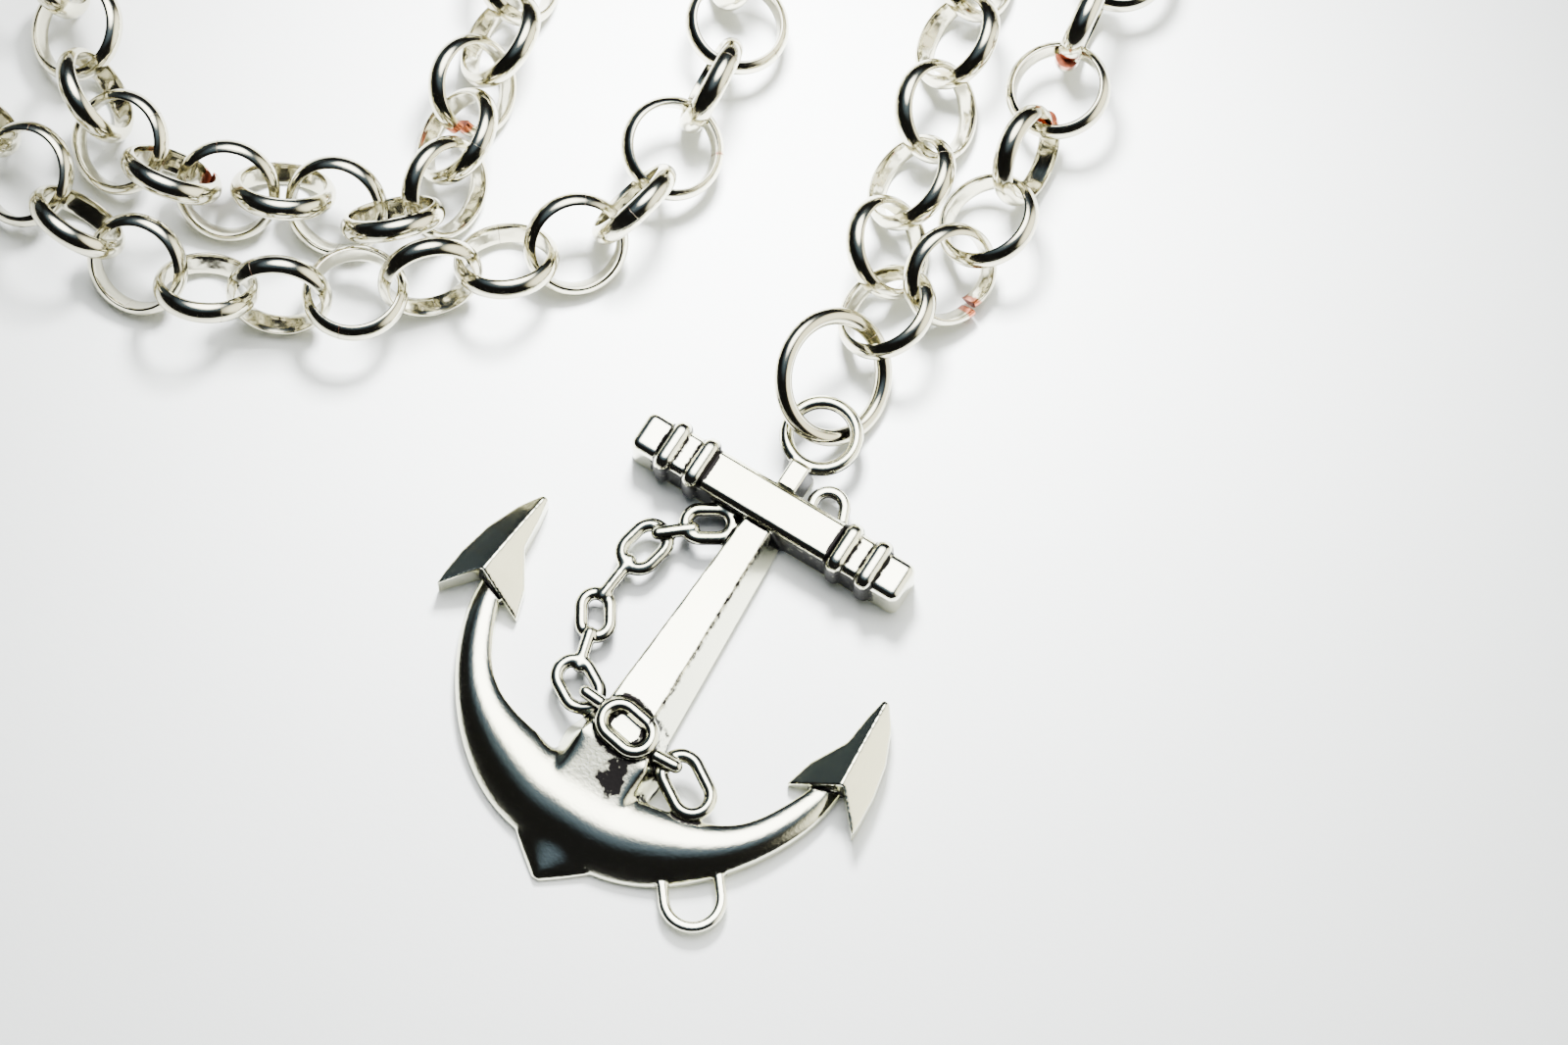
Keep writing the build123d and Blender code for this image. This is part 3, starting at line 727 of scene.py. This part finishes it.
def shaded(places, normals):
    """How much each point's place is darkened, from nought for none to 1 and more for all: painted shade on
    steep walls, painted dark reflections along the shank and on the hub, and blackening beside the stock's
    collars.
    """
    x, y, z = (places / MM).T
    up_shank = (y - SHANK_FOOT[0]) / (SHANK_TOP[0] - SHANK_FOOT[0])
    half = SHANK_FOOT[1] + (SHANK_TOP[1] - SHANK_FOOT[1]) * up_shank
    # Painted shade: steep walls inside the arms and along the stock's bar are darkened, all but the shank's
    # right flank
    steep = np.clip((STEEP_BELOW - normals[:, 2]) / STEEP_FADE, 0, 1)
    inside = np.hypot(x, y - ARM_CENTRE_Y) < ARM_INNER_RADIUS
    upper = (y > ABOVE_ARMS_Y) & (np.abs(x) < STOCK_BAR_REACH)
    flank = (x > 0) & (x < half + SHANK_CLEAR) & (up_shank > 0) & (up_shank < SHANK_FLANK_TO)
    wall = steep * (inside | upper) * (z > WALL_FROM_HEIGHT) * ~flank
    # A painted dark reflection, as a line along the middle of the shank's right half
    line = SHANK_LINE_PAINTED_REFLECTION * near(x - SHANK_LINE_AT * half, SHANK_LINE_WIDTH)
    line *= (up_shank > 0) & (up_shank < SHANK_LINE_TO) & (z > SHANK_LINE_FROM_HEIGHT)
    # A painted dark reflection, as a patch on the hub
    away_x, away_y = x - HUB_PATCH[0], y - HUB_PATCH[1]
    cosine, sine = math.cos(HUB_PATCH_TURN), math.sin(HUB_PATCH_TURN)
    along, across = away_x * cosine + away_y * sine, away_y * cosine - away_x * sine
    patch = HUB_PATCH_PAINTED_REFLECTION * near(np.hypot(along / HUB_PATCH_SIZE[0], across / HUB_PATCH_SIZE[1]), 1.0)
    patch *= (z > HUB_PATCH_HEIGHTS[0]) & (z < HUB_PATCH_HEIGHTS[1])
    lines = np.zeros(len(x))
    for at in COLLAR_LINES:
        lines = np.maximum(lines, COLLAR_LINE_PATINA * near(np.abs(x) - at, COLLAR_LINE_WIDTH))
    lines *= (np.abs(y - STOCK_Y) < COLLAR_LINE_REACH) & (z > COLLAR_LINE_FROM_HEIGHT)
    return np.max([wall, line, patch, lines], axis=0)


def mark_patina_and_shade(mesh):
    """Stores how deep each point lies in a recess, which is how far its smoothed place lifts off it, and the
    darkening that its place calls for: painted shade, painted dark reflections and blackening beside the
    collars."""
    places, normals = vectors(mesh, "co"), vectors(mesh, "normal")
    a, b, beside = neighbours(mesh)
    moved = places.copy()
    for _ in range(RECESS_ROUNDS):
        moved = averaged(moved, a, b, beside)
    lifted = ((moved - places) * normals).sum(1) / RECESS_DEPTH
    lifted *= np.hypot(places[:, 0] / MM - POLISHED[0], places[:, 1] / MM - POLISHED[1]) > POLISHED[2]
    store(mesh, "recess", np.clip(lifted, 0, 1))
    store(mesh, "shade", shaded(places, normals))


def make_casting():
    """The anchor casting."""
    piece = softened_copy(
        "anchor", "anchor_casting", CAST_STEP, CAST_SOFTENING, CAST_TRIANGLES,
        additions=(add_cast_chain, add_beads), finish=blend_joins,
    )
    mark_patina_and_shade(piece.data)
    piece.data.materials.append(antique)
    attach(piece, "root")
    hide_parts("anchor")


def make_clasp():
    """The plain clasp, with softened edges."""
    piece = softened_copy("clasp", "clasp_plate", CLASP_STEP, CLASP_SOFTENING, CLASP_TRIANGLES)
    piece.data.materials.append(plate)
    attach(piece, "root")
    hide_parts("clasp")


# Surroundings

def make_floor():
    """The white paper."""
    half = FLOOR_SIZE / 2
    corners = [(-half, -half, 0), (half, -half, 0), (half, half, 0), (-half, half, 0)]
    mesh = bpy.data.meshes.new("paper")
    mesh.from_pydata(corners, [], [(0, 1, 2, 3)])
    mesh.materials.append(white_paper())
    floor = new_piece("paper", mesh)
    floor.location = (TARGET.x, TARGET.y, 0)


def make_camera():
    """A camera with the photo's angle and framing."""
    data = bpy.data.cameras.new("camera")
    data.lens = LENS_MM
    data.sensor_width = SENSOR_MM
    data.clip_start = CAMERA_CLIP_START
    camera = new_piece("camera", data)
    away = -CAMERA_DISTANCE * math.cos(CAMERA_ELEVATION)
    camera.location = across_table(0, away, CAMERA_DISTANCE * math.sin(CAMERA_ELEVATION))
    camera.rotation_euler = (math.pi / 2 - CAMERA_ELEVATION, 0, CAMERA_TURN)
    bpy.context.scene.camera = camera


def make_key_light():
    """A near, soft key light: a pool of light on the paper, with the reflections left to the room."""
    data = bpy.data.lights.new("key", "AREA")
    data.size = KEY_SIZE
    data.spread = KEY_SPREAD
    data.energy = KEY_POWER
    key = new_piece("key", data)
    key.location = across_table(*KEY_PLACE)
    key.rotation_euler = (across_table(*KEY_AIM) - key.location).to_track_quat("-Z", "Y").to_euler()
    key.visible_glossy = False


def make_room():
    """A dim room with bright parts, each round one direction, as a smooth gradient all round the object."""
    world = bpy.data.worlds.new("room")
    world.use_nodes = True
    tree = world.node_tree
    direction = tree.nodes.new("ShaderNodeTexCoord").outputs["Generated"]
    total = None
    for right, away, up, full, none, colour, strength in ROOM_LIGHTS:
        axis = Matrix.Rotation(CAMERA_TURN, 3, "Z") @ Vector((right, away, up)).normalized()
        toward = tree.nodes.new("ShaderNodeVectorMath")
        toward.operation = "DOT_PRODUCT"
        tree.links.new(direction, toward.inputs[0])
        toward.inputs[1].default_value = axis
        reach = tree.nodes.new("ShaderNodeMapRange")
        reach.interpolation_type = "SMOOTHSTEP"
        tree.links.new(toward.outputs["Value"], reach.inputs["Value"])
        reach.inputs["From Min"].default_value = math.cos(math.radians(none))
        reach.inputs["From Max"].default_value = math.cos(math.radians(full))
        scaled = tree.nodes.new("ShaderNodeVectorMath")
        scaled.operation = "SCALE"
        scaled.inputs[0].default_value = [channel * strength for channel in colour]
        tree.links.new(reach.outputs["Result"], scaled.inputs["Scale"])
        added = tree.nodes.new("ShaderNodeVectorMath")
        added.operation = "ADD"
        tree.links.new(scaled.outputs[0], added.inputs[0])
        if total is None:
            added.inputs[1].default_value = ROOM_DIM
        else:
            tree.links.new(total, added.inputs[1])
        total = added.outputs[0]
    tree.links.new(total, tree.nodes["Background"].inputs["Color"])
    bpy.context.scene.world = world


antique = antique_silver()
plate = silver_plate()
copper = cut_copper()

make_camera()
make_room()
make_key_light()
make_floor()
make_casting()
make_chain()
make_jump_ring()
make_clasp()
